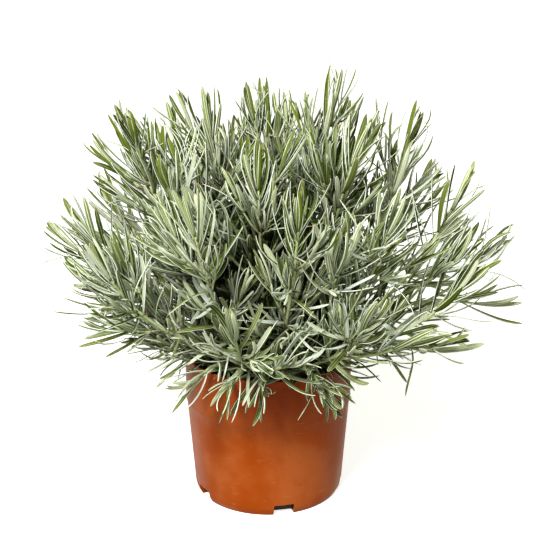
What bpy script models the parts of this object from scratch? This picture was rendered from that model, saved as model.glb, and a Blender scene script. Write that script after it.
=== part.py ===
"""Potted lavender: a bushy young lavender plant, not yet in flower, in a thin moulded nursery pot.

The plant is a set of leafy stems. Each one rises from the potting compost, forks into one to three
shoots, and carries narrow leaves in opposite pairs, each pair turned a quarter turn from the next.
Leaves are sunk into their stem and joined to it, so that a leafy stem is one solid. A leaf that would
cross another leafy stem, the compost or the pot is turned about its stem until it is clear of them.

Units are metres, +Z is up, and the origin is the middle of the pot's base. Azimuths are in degrees
from +X towards +Y. A lean is in degrees from upright.
"""

import math
import random

import bmesh
import bpy
from mathutils import Vector
from mathutils.bvhtree import BVHTree

MM = 0.001
WELD = 0.01 * MM

# The pot: a tapered thin wall with a collar below the rim, and drain notches round its foot.
RIM_RADIUS = 65 * MM
POT_HEIGHT = 117 * MM
COLLAR_HEIGHT = 40 * MM
COLLAR_STEP = 0.9 * MM
COLLAR_DRAFT = 0.2 * MM
COLLAR_LEDGE = 0.5 * MM
HEEL_RADIUS = 58.8 * MM
HEEL_HEIGHT = 8 * MM
HEEL_ROUNDING = 0.8 * MM
FOOT_RADIUS = 55.5 * MM
WALL = 1.5 * MM
FLOOR = 1.8 * MM
POT_SIDES = 36
NOTCHES = 5
NOTCH_WIDTH = 16 * MM
NOTCH_HEIGHT = 9.5 * MM
NOTCH_DEPTH = 12 * MM
FIRST_NOTCH_AZIMUTH = -78

# The compost, with a plain hole for each stem.
SOIL_HEIGHT = 104 * MM
SOIL_CROWN = 2 * MM
SOIL_LEVEL_SHARE = 0.8
SOIL_GAP = 0.5 * MM
SOIL_SIDES = 24
HOLE_DEPTH = 12 * MM
HOLE_SIDES = 4
SEAT_GAP = 0.3 * MM
FIRST_BEND_HEIGHT = 3 * MM

# The stems are square, as in all the mint family.
STEM_RADIUS = 1.7 * MM
FORK_RADIUS = 1.3 * MM
TIP_RADIUS = 1.1 * MM
STEM_POINTS = 5
SHOOT_POINTS = 4
STEM_CURVE_REACH = 0.35
SHOOT_CURVE_REACH = 0.35
FORK_CURVE_REACH = 0.3

# A leaf is a narrow blade with a flat upper side and a keel below, where its midrib runs. Its stations
# are (share of the length, share of the full width, share of the full thickness). The young leaves,
# in the pairs nearest a shoot's tip, are straighter and have only one.
LEAF_STATIONS = ((0.34, 0.88, 1.0), (0.82, 1.0, 0.9))
YOUNG_LEAF_STATIONS = ((0.68, 1.0, 1.0),)
YOUNG_PAIRS = 2
LEAF_THICKNESS = 1.0 * MM
LEAF_CLEARANCE = 0.3 * MM
LEAF_ROOT_WIDTH = 0.8 * MM
LEAF_ROOT_THICKNESS = 0.6
LEAF_ROOT_OFFSET = 0.3
NEAR_TIP = 0.95
NO_BEND = 0.001

# Pairs of leaves, from the tip of a shoot down:
# (distance from the tip, spread at the root, spread at the leaf's tip, length, width, droop)
# in millimetres and degrees from the stem's own direction.
LEAF_PAIRS = (
    (2, 14, 0, 38, 4.2, 0),
    (11, 25, 8, 46, 4.8, 0),
    (25, 38, 26, 50, 5.0, 1),
    (44, 50, 52, 48, 5.0, 4),
    (68, 56, 58, 46, 5.0, 4),
    (94, 58, 60, 38, 4.8, 4),
)

# Ways round a crossing: (turn about the stem, change of spread), in degrees, tried in this order.
LEAF_TURNS = (
    (0, 0), (14, 0), (-14, 0), (0, 14), (0, -10), (28, 0), (-28, 0),
    (20, 14), (-20, 14), (20, -12), (-20, -12), (42, 6), (-42, 6),
)

# The leafy stems in four tiers. A tier is (its name, distance of the roots from the middle, lean of a
# stem at its root and at its tip as shares of the lean from root to tip, length of bare stem at the
# bottom, stems), and a stem is (azimuth, distance of its tip from the middle, height of its tip, side
# shoots) in degrees and mm. The crown's stems stand close together and have shed their low leaves.
TIERS = (
    ("crown", 13, 0.5, 0.6, 140, (
        (139, 58, 279, 2),
        (42, 62, 294, 2),
        (-172, 98, 276, 1),
        (92, 66, 280, 1),
        (-20, 66, 274, 1),
        (-97, 56, 266, 1),
    )),
    ("shoulder", 28, 1.3, 0.55, 35, (
        (-80, 120, 256, 1),
        (-117, 112, 246, 1),
        (-50, 130, 246, 1),
        (-12, 140, 242, 1),
        (21, 116, 268, 1),
        (60, 122, 254, 1),
        (95, 124, 250, 1),
        (128, 118, 256, 1),
        (158, 112, 268, 1),
    )),
    ("flank", 41, 0.95, 0.6, 35, (
        (-168, 134, 218, 1),
        (-145, 138, 205, 1),
        (-100, 138, 186, 1),
        (-62, 146, 190, 1),
        (-30, 158, 196, 1),
        (6, 168, 186, 1),
        (38, 152, 208, 1),
        (76, 152, 196, 1),
        (112, 150, 198, 1),
        (148, 142, 203, 1),
    )),
    ("skirt", 50, 0.4, 1.65, 35, (
        (-118, 106, 134, 0),
        (-93, 100, 130, 0),
        (-70, 106, 132, 0),
        (-40, 118, 154, 0),
        (-11, 160, 166, 0),
        (28, 140, 152, 0),
        (62, 132, 146, 0),
        (98, 128, 146, 0),
        (134, 134, 150, 0),
        (168, 122, 154, 0),
        (-155, 118, 154, 0),
    )),
)
SIDE_FORK = 0.5
SIDE_OFFSET = 38 * MM
SIDE_DROP = 24 * MM
SIDE_STRAIGHTNESS = 0.3
SIDE_FLARE = 0.15
SIDE_SWING = 35
SIDE_LEAFY_LENGTH = 30 * MM
NEARLY_UPRIGHT = 0.1
SEED = 11

# How far the leaves vary: (the most that it takes away, the most that it adds) or shares of a size.
TURN_SCATTER = (-0.25, 0.25)
ROOT_SPREAD_SCATTER = (-4, 4)
TIP_SPREAD_SCATTER = (-9, 9)
LENGTH_SCATTER = (0.88, 1.1)
WIDTH_SCATTER = (0.9, 1.1)


def lean_direction(azimuth, lean):
    """The unit vector that leans this far from upright, towards this azimuth."""
    turn, tilt = math.radians(azimuth), math.radians(lean)
    return Vector((math.sin(tilt) * math.cos(turn), math.sin(tilt) * math.sin(turn), math.cos(tilt)))


def bezier(start, leave, arrive, end, count):
    """Evenly timed points of the cubic from start to end, both ends included."""
    points = []
    for step in range(count):
        t = step / (count - 1)
        u = 1 - t
        points.append(
            start * u**3 + leave * (3 * u * u * t) + arrive * (3 * u * t * t) + end * t**3
        )
    return points


def tapered(first, last, count):
    return [first + (last - first) * step / (count - 1) for step in range(count)]


def main_path(azimuth, root_distance, tip_distance, tip_height, root_share, tip_share):
    """A leafy stem's centre line from its foot in the compost to its tip. It stands upright until it
    is clear of the compost."""
    outward = lean_direction(azimuth, 90)
    root = outward * root_distance + Vector((0, 0, SOIL_HEIGHT + SOIL_CROWN + FIRST_BEND_HEIGHT))
    tip = outward * tip_distance + Vector((0, 0, tip_height))
    lean = math.degrees((tip - root).angle(Vector((0, 0, 1))))
    reach = (tip - root).length
    leave = root + lean_direction(azimuth, lean * root_share) * (reach * STEM_CURVE_REACH)
    arrive = tip - lean_direction(azimuth, lean * tip_share) * (reach * STEM_CURVE_REACH)
    foot = root - Vector((0, 0, HOLE_DEPTH + FIRST_BEND_HEIGHT))
    return [foot, *bezier(root, leave, arrive, tip, STEM_POINTS)]


def side_path(main, around):
    """A side shoot's centre line. It forks from the main path and ends beside and below its tip, at
    this angle round the main shoot's direction."""
    at = SIDE_FORK * (len(main) - 1)
    before = int(at)
    fork = main[before].lerp(main[before + 1], at - before)
    along = (main[before + 1] - main[before]).normalized()
    heading = (main[-1] - main[-2]).normalized()
    sideways = heading.cross(Vector((0, 0, 1)))
    sideways = sideways.normalized() if sideways.length > NEARLY_UPRIGHT else Vector((1, 0, 0))
    above = sideways.cross(heading)
    offset = sideways * math.cos(around) + above * math.sin(around)
    tip = main[-1] + offset * SIDE_OFFSET - heading * SIDE_DROP
    reach = (tip - fork).length
    straight = (tip - fork).normalized()
    arriving = heading.lerp(straight, SIDE_STRAIGHTNESS) + offset * SIDE_FLARE
    leave = fork + (along + straight).normalized() * (reach * FORK_CURVE_REACH)
    arrive = tip - arriving.normalized() * (reach * SHOOT_CURVE_REACH)
    return bezier(fork, leave, arrive, tip, SHOOT_POINTS)


def path_length(path):
    return sum((b - a).length for a, b in zip(path, path[1:]))


def point_from_tip(path, distance):
    """(point, direction, share of the path from its tip) at this distance back from the tip."""
    whole = path_length(path)
    left = distance
    for end, start in zip(path[::-1], path[-2::-1]):
        step = (end - start).length
        if left <= step:
            return end.lerp(start, left / step), (end - start).normalized(), distance / whole
        left -= step
    return path[0], (path[1] - path[0]).normalized(), 1.0


def leaf_frame(direction, turn):
    """The side of a stem that a leaf grows from, at this turn about the stem's direction."""
    reference = Vector((0, 1, 0)) if abs(direction.x) > abs(direction.y) else Vector((1, 0, 0))
    first = direction.cross(reference).normalized()
    second = direction.cross(first)
    return first * math.cos(turn) + second * math.sin(turn)


def leaf_point(leaf, share):
    """(point, upper side) of a leaf's curved middle line, at this share of its length."""
    root_spread = math.radians(leaf["root_spread"])
    bend = math.radians(leaf["tip_spread"]) - root_spread
    spread = root_spread + bend * share
    if abs(bend) < NO_BEND:
        run, rise = math.sin(spread) * share, math.cos(spread) * share
    else:
        run = (math.cos(root_spread) - math.cos(spread)) / bend
        rise = (math.sin(spread) - math.sin(root_spread)) / bend
    stem, side = leaf["stem"], leaf["side"]
    point = leaf["root"] + (stem * rise + side * run) * leaf["length"]
    point.z -= leaf["droop"] * share**2
    upper = (stem * math.sin(spread) - side * math.cos(spread)).normalized()
    return point, upper


def leaf_mesh(leaf, margin=0.0):
    """(points, faces) of a leaf: three-cornered sections from inside the stem to a pointed tip, made
    larger by this margin all round."""
    across = leaf["stem"].cross(leaf["side"]).normalized()
    root = (0.0, LEAF_ROOT_WIDTH / leaf["width"], LEAF_ROOT_THICKNESS)
    stations = [root, *(YOUNG_LEAF_STATIONS if leaf["rank"] < YOUNG_PAIRS else LEAF_STATIONS)]
    points = []
    for share, width, thickness in stations:
        middle, upper = leaf_point(leaf, share)
        half = across * (leaf["width"] * width / 2 + margin)
        points.append(middle + half + upper * margin)
        points.append(middle - half + upper * margin)
        points.append(middle - upper * (LEAF_THICKNESS * thickness + margin))
    tip, _ = leaf_point(leaf, 1.0)
    inner, _ = leaf_point(leaf, NEAR_TIP)
    points.append(tip + (tip - inner).normalized() * margin)
    faces = [(2, 1, 0)]
    for first in range(0, 3 * (len(stations) - 1), 3):
        for corner in range(3):
            a, b = first + corner, first + (corner + 1) % 3
            faces.append((a, b, b + 3, a + 3))
    last, tip_index = 3 * (len(stations) - 1), len(points) - 1
    faces += [(last + corner, last + (corner + 1) % 3, tip_index) for corner in range(3)]
    return points, faces


def planned_shoots():
    """Every shoot in order: (leafy stem's name, path, radii of the path, length that bears leaves).
    A main shoot comes before its side shoots."""
    draw = random.Random(SEED)
    shoots = []
    for tier, root_distance, root_share, tip_share, bare, stems in TIERS:
        for number, (azimuth, tip_distance, tip_height, sides) in enumerate(stems, 1):
            name = f"leafy_stem_{tier}_{number:02d}"
            main = main_path(
                azimuth,
                root_distance * MM,
                tip_distance * MM,
                tip_height * MM,
                root_share,
                tip_share,
            )
            radii = [STEM_RADIUS, *tapered(STEM_RADIUS, TIP_RADIUS, STEM_POINTS)]
            shoots.append((name, main, radii, path_length(main) - bare * MM))
            swing = math.radians(draw.uniform(-SIDE_SWING, SIDE_SWING))
            around = swing + draw.choice((0, math.pi))
            for side in range(sides):
                path = side_path(main, around + side * math.pi)
                radii = tapered(FORK_RADIUS, TIP_RADIUS, SHOOT_POINTS)
                shoots.append((name, path, radii, SIDE_LEAFY_LENGTH))
    return shoots


def planned_leaves(shoots):
    """Every leaf in the order that it is placed: the pairs at the tips of all shoots come first."""
    draw = random.Random(SEED + 1)
    starts = [draw.uniform(0, math.pi) for _ in shoots]
    leaves = []
    for rank, (from_tip, root_spread, tip_spread, length, width, droop) in enumerate(LEAF_PAIRS):
        for (name, path, radii, leafy_length), start in zip(shoots, starts):
            if from_tip * MM > leafy_length:
                continue
            for quarter_turns in (rank, rank + 2):
                root, stem, share = point_from_tip(
                    path, (from_tip + draw.uniform(-1, 1) * rank) * MM
                )
                leaves.append({
                    "owner": name,
                    "rank": rank,
                    "root": root,
                    "stem": stem,
                    "turn": start + quarter_turns * math.pi / 2 + draw.uniform(*TURN_SCATTER),
                    "root_spread": root_spread + draw.uniform(*ROOT_SPREAD_SCATTER),
                    "tip_spread": tip_spread + draw.uniform(*TIP_SPREAD_SCATTER),
                    "length": length * MM * draw.uniform(*LENGTH_SCATTER),
                    "width": width * MM * draw.uniform(*WIDTH_SCATTER),
                    "droop": droop * MM,
                    "stem_radius": TIP_RADIUS + (radii[0] - TIP_RADIUS) * share,
                })
    return leaves


def turned_leaf(leaf, way):
    """The leaf, moved one of LEAF_TURNS."""
    turn, spread = way
    moved = dict(leaf)
    moved["side"] = leaf_frame(leaf["stem"], leaf["turn"] + math.radians(turn))
    moved["root"] = leaf["root"] + moved["side"] * (leaf["stem_radius"] * LEAF_ROOT_OFFSET)
    moved["root_spread"] += spread * 0.5
    moved["tip_spread"] += spread
    return moved


class Crossings:
    """The pieces placed so far, to find what a new piece would cross. A piece of the same owner
    doesn't count."""

    def __init__(self):
        self.placed = []

    def add(self, owner, points, faces):
        box = self.box_of(points)
        self.placed.append((owner, box, BVHTree.FromPolygons(points, faces)))

    def found(self, owner, points, faces):
        low, high = self.box_of(points)
        tree = None
        for other, (other_low, other_high), other_tree in self.placed:
            if other == owner:
                continue
            if any(low[k] > other_high[k] or high[k] < other_low[k] for k in range(3)):
                continue
            tree = tree or BVHTree.FromPolygons(points, faces)
            if tree.overlap(other_tree):
                return other
        return None

    @staticmethod
    def box_of(points):
        return (
            [min(p[k] for p in points) for k in range(3)],
            [max(p[k] for p in points) for k in range(3)],
        )


def clear_scene():
    for old in list(bpy.data.objects):
        bpy.data.objects.remove(old)


def new_collection(name):
    collection = bpy.data.collections.new(name)
    bpy.context.scene.collection.children.link(collection)
    return collection


def new_material(name, colour, roughness):
    material = bpy.data.materials.new(name)
    material.use_nodes = True
    shader = material.node_tree.nodes["Principled BSDF"]
    shader.inputs["Base Color"].default_value = (*colour, 1.0)
    shader.inputs["Roughness"].default_value = roughness
    return material


def mesh_object(name, points, faces, collection, material=None):
    mesh = bpy.data.meshes.new(name)
    mesh.from_pydata([tuple(point) for point in points], [], faces)
    if material:
        mesh.materials.append(material)
    made = bpy.data.objects.new(name, mesh)
    collection.objects.link(made)
    return made


def turned_object(name, profile, sides, collection, material):
    """A solid turned about Z from a profile that runs down its outer side."""
    edges = [(k, k + 1) for k in range(len(profile) - 1)]
    mesh = bpy.data.meshes.new(name)
    mesh.from_pydata([(radius, 0, height) for radius, height in profile], edges, [])
    mesh.materials.append(material)
    made = bpy.data.objects.new(name, mesh)
    collection.objects.link(made)
    screw = made.modifiers.new("turn", "SCREW")
    screw.steps = sides
    screw.render_steps = sides
    screw.use_merge_vertices = True
    screw.merge_threshold = WELD
    return made


def cut_with(target, cutters, name):
    cut = target.modifiers.new(name, "BOOLEAN")
    cut.operation = "DIFFERENCE"
    cut.operand_type = "COLLECTION"
    cut.collection = cutters


def hide_cutter(cutter, collection):
    for holder in list(cutter.users_collection):
        holder.objects.unlink(cutter)
    collection.objects.link(cutter)
    cutter.hide_render = True
    cutter.display_type = "WIRE"


def evaluated_mesh(source):
    graph = bpy.context.evaluated_depsgraph_get()
    return bpy.data.meshes.new_from_object(source.evaluated_get(graph), depsgraph=graph)


def tube_mesh(path, radii):
    """A square tapered tube along a path, closed at both ends."""
    curve = bpy.data.curves.new("stem_line", "CURVE")
    curve.dimensions = "3D"
    curve.bevel_depth = 1.0
    curve.bevel_resolution = 0
    curve.use_fill_caps = True
    line = curve.splines.new("POLY")
    line.points.add(len(path) - 1)
    for control, point, radius in zip(line.points, path, radii):
        control.co = (*point, 1.0)
        control.radius = radius
    holder = bpy.data.objects.new("stem_line", curve)
    bpy.context.scene.collection.objects.link(holder)
    mesh = evaluated_mesh(holder)
    bpy.data.objects.remove(holder)
    bpy.data.curves.remove(curve)
    shape = bmesh.new()
    shape.from_mesh(mesh)
    bmesh.ops.remove_doubles(shape, verts=shape.verts, dist=WELD)
    bmesh.ops.recalc_face_normals(shape, faces=shape.faces)
    shape.to_mesh(mesh)
    shape.free()
    return mesh


def make_pot(collection, cutter_parent, material):
    body_top = POT_HEIGHT - COLLAR_HEIGHT
    outer = [
        (RIM_RADIUS, POT_HEIGHT),
        (RIM_RADIUS - COLLAR_DRAFT, body_top),
        (RIM_RADIUS - COLLAR_STEP, body_top - COLLAR_LEDGE),
        (HEEL_RADIUS, HEEL_HEIGHT),
        (HEEL_RADIUS - HEEL_ROUNDING, HEEL_HEIGHT / 2),
        (FOOT_RADIUS, 0),
    ]
    inner = [
        (FOOT_RADIUS - WALL, FLOOR),
        (HEEL_RADIUS - WALL, HEEL_HEIGHT),
        (RIM_RADIUS - COLLAR_STEP - WALL, body_top),
        (RIM_RADIUS - WALL, POT_HEIGHT),
    ]
    profile = [(0, FLOOR), *inner, *outer, (0, 0)]
    pot = turned_object("pot", profile, POT_SIDES, collection, material)
    cutters = bpy.data.collections.new("notch_cutters")
    cutter_parent.children.link(cutters)
    middle = HEEL_RADIUS + WALL - NOTCH_DEPTH / 2
    for number in range(NOTCHES):
        azimuth = math.radians(FIRST_NOTCH_AZIMUTH + number * 360 / NOTCHES)
        bpy.ops.mesh.primitive_cube_add(
            size=1,
            location=(middle * math.cos(azimuth), middle * math.sin(azimuth), 0),
            rotation=(0, 0, azimuth),
            scale=(NOTCH_DEPTH, NOTCH_WIDTH, 2 * NOTCH_HEIGHT),
        )
        hide_cutter(bpy.context.object, cutters)
    cut_with(pot, cutters, "drain notches")
    return pot


def make_soil(collection, cutter_parent, material, roots):
    """The compost up to a little below the rim, with a hole for each stem's foot."""
    body_top = POT_HEIGHT - COLLAR_HEIGHT
    inside = -WALL - SOIL_GAP
    profile = [
        (0, SOIL_HEIGHT + SOIL_CROWN),
        (RIM_RADIUS * SOIL_LEVEL_SHARE, SOIL_HEIGHT + SOIL_CROWN),
        (RIM_RADIUS - COLLAR_STEP + inside, SOIL_HEIGHT),
        (RIM_RADIUS - COLLAR_STEP + inside, body_top),
        (HEEL_RADIUS + inside, HEEL_HEIGHT),
        (FOOT_RADIUS + inside, FLOOR + SEAT_GAP),
        (0, FLOOR + SEAT_GAP),
    ]
    soil = turned_object("potting_compost", profile, SOIL_SIDES, collection, material)
    cutters = bpy.data.collections.new("stem_hole_cutters")
    cutter_parent.children.link(cutters)
    radius = (STEM_RADIUS + SEAT_GAP) / math.cos(math.pi / HOLE_SIDES)
    for root in roots:
        bpy.ops.mesh.primitive_cylinder_add(
            vertices=HOLE_SIDES,
            radius=radius,
            depth=2 * (HOLE_DEPTH + SEAT_GAP),
            location=(root.x, root.y, SOIL_HEIGHT + SOIL_CROWN),
        )
        hide_cutter(bpy.context.object, cutters)
    cut_with(soil, cutters, "stem holes")
    return soil


def settled_leaves(leaves, crossings):
    """The leaves that find a way clear of the other leafy stems, the compost and the pot."""
    settled = []
    for leaf in leaves:
        for way in LEAF_TURNS:
            moved = turned_leaf(leaf, way)
            if not crossings.found(leaf["owner"], *leaf_mesh(moved, LEAF_CLEARANCE)):
                crossings.add(leaf["owner"], *leaf_mesh(moved))
                settled.append(moved)
                break
    return settled


def join_leafy_stem(name, tubes, leaves, collection, material):
    """One solid from a stem, its side shoots and its leaves, by a Boolean union."""
    tubes[0].materials.append(material)
    stem = bpy.data.objects.new(name, tubes[0])
    collection.objects.link(stem)
    growth = new_collection(name + "_growth")
    for tube in tubes[1:]:
        growth.objects.link(bpy.data.objects.new("side_shoot", tube))
    for leaf in leaves:
        mesh_object("leaf", *leaf_mesh(leaf), growth)
    join = stem.modifiers.new("join", "BOOLEAN")
    join.operation = "UNION"
    join.operand_type = "COLLECTION"
    join.collection = growth
    joined = evaluated_mesh(stem)
    stem.modifiers.clear()
    stem.data = joined
    for piece in list(growth.objects):
        bpy.data.objects.remove(piece)
    bpy.data.collections.remove(growth)
    return stem


def main():
    clear_scene()
    plant = new_collection("potted lavender")
    cutters = new_collection("cutters")
    pot_plastic = new_material("terracotta plastic", (0.47, 0.13, 0.03), 0.45)
    compost = new_material("potting compost", (0.04, 0.025, 0.015), 0.95)
    foliage = new_material("silver-green leaf", (0.36, 0.43, 0.26), 0.65)

    shoots = planned_shoots()
    names = list(dict.fromkeys(name for name, _, _, _ in shoots))
    tubes = {name: [] for name in names}
    crossings = Crossings()
    for name, path, radii, _ in shoots:
        mesh = tube_mesh(path, radii)
        points = [vertex.co.copy() for vertex in mesh.vertices]
        faces = [tuple(face.vertices) for face in mesh.polygons]
        crossed = crossings.found(name, points, faces)
        if crossed:
            print(f"{name} has a shoot that crosses {crossed}")
        crossings.add(name, points, faces)
        tubes[name].append(mesh)

    roots = [path[1] for path in {name: path for name, path, _, _ in reversed(shoots)}.values()]
    pot = make_pot(plant, cutters, pot_plastic)
    soil = make_soil(plant, cutters, compost, roots)
    for fixed in (pot, soil):
        mesh = evaluated_mesh(fixed)
        points = [vertex.co.copy() for vertex in mesh.vertices]
        crossings.add(fixed.name, points, [tuple(face.vertices) for face in mesh.polygons])

    planned = planned_leaves(shoots)
    leaves = settled_leaves(planned, crossings)
    print(f"{len(shoots)} shoots, {len(leaves)} leaves of {len(planned)}")
    for name in names:
        own = [leaf for leaf in leaves if leaf["owner"] == name]
        join_leafy_stem(name, tubes[name], own, plant, foliage)


main()
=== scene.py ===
"""The finished look of the potted lavender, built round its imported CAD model.

Every leafy stem of the model is replaced by a piece that keeps its stems and its leaves where they
are, with rounded stems and rolled-edged blades, and adds what the model leaves out: the pairs
between its pairs, the young shoots in the axils and in the middle of the bush, and the little tufts
at the foot of the leaves. The pot and the compost are replaced by finer pieces of the same size.

The stems and the leaves follow the same rule, with the same seed, as the model's source. Units are
metres, azimuths are in degrees from +X towards +Y, and leans are in degrees from upright.
"""

import math
import random
from math import cos, pi, radians, sin

import bmesh
import bpy
import numpy as np
from mathutils import Matrix, Vector, noise
from mathutils.kdtree import KDTree

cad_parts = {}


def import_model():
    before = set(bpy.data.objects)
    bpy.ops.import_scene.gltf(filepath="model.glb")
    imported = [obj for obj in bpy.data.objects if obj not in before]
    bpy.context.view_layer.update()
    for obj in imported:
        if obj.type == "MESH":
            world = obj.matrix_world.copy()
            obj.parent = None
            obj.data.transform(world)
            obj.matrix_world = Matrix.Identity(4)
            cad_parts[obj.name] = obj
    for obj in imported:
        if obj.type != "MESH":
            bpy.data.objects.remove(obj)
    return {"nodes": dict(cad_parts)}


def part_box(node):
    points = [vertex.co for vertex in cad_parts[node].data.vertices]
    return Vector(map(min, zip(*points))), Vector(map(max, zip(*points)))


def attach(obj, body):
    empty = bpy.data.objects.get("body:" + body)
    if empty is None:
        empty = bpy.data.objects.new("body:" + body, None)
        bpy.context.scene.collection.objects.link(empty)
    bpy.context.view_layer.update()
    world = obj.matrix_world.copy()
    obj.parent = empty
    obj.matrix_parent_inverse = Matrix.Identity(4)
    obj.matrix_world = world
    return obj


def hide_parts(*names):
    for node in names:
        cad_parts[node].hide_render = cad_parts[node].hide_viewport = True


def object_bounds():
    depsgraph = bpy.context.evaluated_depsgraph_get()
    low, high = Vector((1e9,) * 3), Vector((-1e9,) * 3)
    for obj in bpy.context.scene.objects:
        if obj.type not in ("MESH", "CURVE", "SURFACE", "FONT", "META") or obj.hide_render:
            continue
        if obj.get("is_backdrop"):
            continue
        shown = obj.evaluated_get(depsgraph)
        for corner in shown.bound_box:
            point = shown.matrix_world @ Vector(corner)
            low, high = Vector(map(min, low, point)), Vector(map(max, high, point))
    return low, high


MM = 0.001
UP = Vector((0, 0, 1))

# ---------------- the rule that the plant grows by

SOIL_HEIGHT = 104 * MM
SOIL_CROWN = 2 * MM
HOLE_DEPTH = 12 * MM
FIRST_BEND_HEIGHT = 3 * MM

STEM_RADIUS = 1.7 * MM
FORK_RADIUS = 1.3 * MM
TIP_RADIUS = 1.1 * MM
STEM_POINTS = 5
SHOOT_POINTS = 4
STEM_CURVE_REACH = 0.35
SHOOT_CURVE_REACH = 0.35
FORK_CURVE_REACH = 0.3

LEAF_ROOT_OFFSET = 0.3
NO_BEND = 0.001

# Pairs of leaves, from the tip of a shoot down:
# (distance from the tip, spread at the root, spread at the leaf's tip, length, width, droop)
# in millimetres and degrees from the stem's own direction.
LEAF_PAIRS = (
    (2, 14, 0, 38, 4.2, 0),
    (11, 25, 8, 46, 4.8, 0),
    (25, 38, 26, 50, 5.0, 1),
    (44, 50, 52, 48, 5.0, 4),
    (68, 56, 58, 46, 5.0, 4),
    (94, 58, 60, 38, 4.8, 4),
)

# Ways round a crossing: (turn about the stem, change of spread), in degrees.
LEAF_TURNS = (
    (0, 0), (14, 0), (-14, 0), (0, 14), (0, -10), (28, 0), (-28, 0),
    (20, 14), (-20, 14), (20, -12), (-20, -12), (42, 6), (-42, 6),
)

# The leafy stems in four tiers: (name, distance of the roots from the middle, lean at the root and at
# the tip as shares of the lean from root to tip, length of bare stem, stems), and a stem is
# (azimuth, distance of its tip from the middle, height of its tip, side shoots) in degrees and mm.
TIERS = (
    ("crown", 13, 0.5, 0.6, 140, (
        (139, 58, 279, 2), (42, 62, 294, 2), (-172, 98, 276, 1),
        (92, 66, 280, 1), (-20, 66, 274, 1), (-97, 56, 266, 1),
    )),
    ("shoulder", 28, 1.3, 0.55, 35, (
        (-80, 120, 256, 1), (-117, 112, 246, 1), (-50, 130, 246, 1),
        (-12, 140, 242, 1), (21, 116, 268, 1), (60, 122, 254, 1),
        (95, 124, 250, 1), (128, 118, 256, 1), (158, 112, 268, 1),
    )),
    ("flank", 41, 0.95, 0.6, 35, (
        (-168, 134, 218, 1), (-145, 138, 205, 1), (-100, 138, 186, 1),
        (-62, 146, 190, 1), (-30, 158, 196, 1), (6, 168, 186, 1),
        (38, 152, 208, 1), (76, 152, 196, 1), (112, 150, 198, 1),
        (148, 142, 203, 1),
    )),
    ("skirt", 50, 0.4, 1.65, 35, (
        (-118, 106, 134, 0), (-93, 100, 130, 0), (-70, 106, 132, 0),
        (-40, 118, 154, 0), (-11, 160, 166, 0), (28, 140, 152, 0),
        (62, 132, 146, 0), (98, 128, 146, 0), (134, 134, 150, 0),
        (168, 122, 154, 0), (-155, 118, 154, 0),
    )),
)
SIDE_FORK = 0.5
SIDE_OFFSET = 38 * MM
SIDE_DROP = 24 * MM
SIDE_STRAIGHTNESS = 0.3
SIDE_FLARE = 0.15
SIDE_SWING = 35
SIDE_LEAFY_LENGTH = 30 * MM
NEARLY_UPRIGHT = 0.1
SEED = 11

# How far a leaf may differ from its row: its turn in radians and its spreads in degrees are moved, and
# its sizes are scaled, by a draw from each range.
SIZES = ("length", "width", "droop")
MODEL_SCATTER = {
    "turn": (-0.25, 0.25), "root_spread": (-4, 4), "tip_spread": (-9, 9),
    "length": (0.88, 1.1), "width": (0.9, 1.1),
}


def lean_direction(azimuth, lean):
    """The unit vector that leans this far from upright, towards this azimuth."""
    turn, tilt = radians(azimuth), radians(lean)
    return Vector((sin(tilt) * cos(turn), sin(tilt) * sin(turn), cos(tilt)))


def bezier(start, leave, arrive, end, count):
    """Evenly timed points of the cubic from start to end, both ends included."""
    points = []
    for step in range(count):
        t = step / (count - 1)
        u = 1 - t
        points.append(start * u**3 + leave * (3 * u * u * t) + arrive * (3 * u * t * t) + end * t**3)
    return points


def tapered(first, last, count):
    return [first + (last - first) * step / (count - 1) for step in range(count)]


def main_path(azimuth, root_distance, tip_distance, tip_height, root_share, tip_share):
    """A leafy stem's centre line from its foot in the compost to its tip."""
    outward = lean_direction(azimuth, 90)
    root = outward * root_distance + Vector((0, 0, SOIL_HEIGHT + SOIL_CROWN + FIRST_BEND_HEIGHT))
    tip = outward * tip_distance + Vector((0, 0, tip_height))
    lean = math.degrees((tip - root).angle(UP))
    reach = (tip - root).length
    leave = root + lean_direction(azimuth, lean * root_share) * (reach * STEM_CURVE_REACH)
    arrive = tip - lean_direction(azimuth, lean * tip_share) * (reach * STEM_CURVE_REACH)
    foot = root - Vector((0, 0, HOLE_DEPTH + FIRST_BEND_HEIGHT))
    return [foot, *bezier(root, leave, arrive, tip, STEM_POINTS)]


def side_path(main, around):
    """A side shoot's centre line, from its fork to beside and below the main path's tip."""
    at = SIDE_FORK * (len(main) - 1)
    before = int(at)
    fork = main[before].lerp(main[before + 1], at - before)
    along = (main[before + 1] - main[before]).normalized()
    heading = (main[-1] - main[-2]).normalized()
    sideways = heading.cross(UP)
    sideways = sideways.normalized() if sideways.length > NEARLY_UPRIGHT else Vector((1, 0, 0))
    above = sideways.cross(heading)
    offset = sideways * cos(around) + above * sin(around)
    tip = main[-1] + offset * SIDE_OFFSET - heading * SIDE_DROP
    reach = (tip - fork).length
    straight = (tip - fork).normalized()
    arriving = heading.lerp(straight, SIDE_STRAIGHTNESS) + offset * SIDE_FLARE
    leave = fork + (along + straight).normalized() * (reach * FORK_CURVE_REACH)
    arrive = tip - arriving.normalized() * (reach * SHOOT_CURVE_REACH)
    return bezier(fork, leave, arrive, tip, SHOOT_POINTS)


def path_length(path):
    return sum((b - a).length for a, b in zip(path, path[1:]))


def point_from_tip(path, distance):
    """(point, direction, share of the path from its tip) at this distance back from the tip."""
    whole = path_length(path)
    left = distance
    for end, start in zip(path[::-1], path[-2::-1]):
        step = (end - start).length
        if left <= step:
            return end.lerp(start, left / step), (end - start).normalized(), distance / whole
        left -= step
    return path[0], (path[1] - path[0]).normalized(), 1.0


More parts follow.
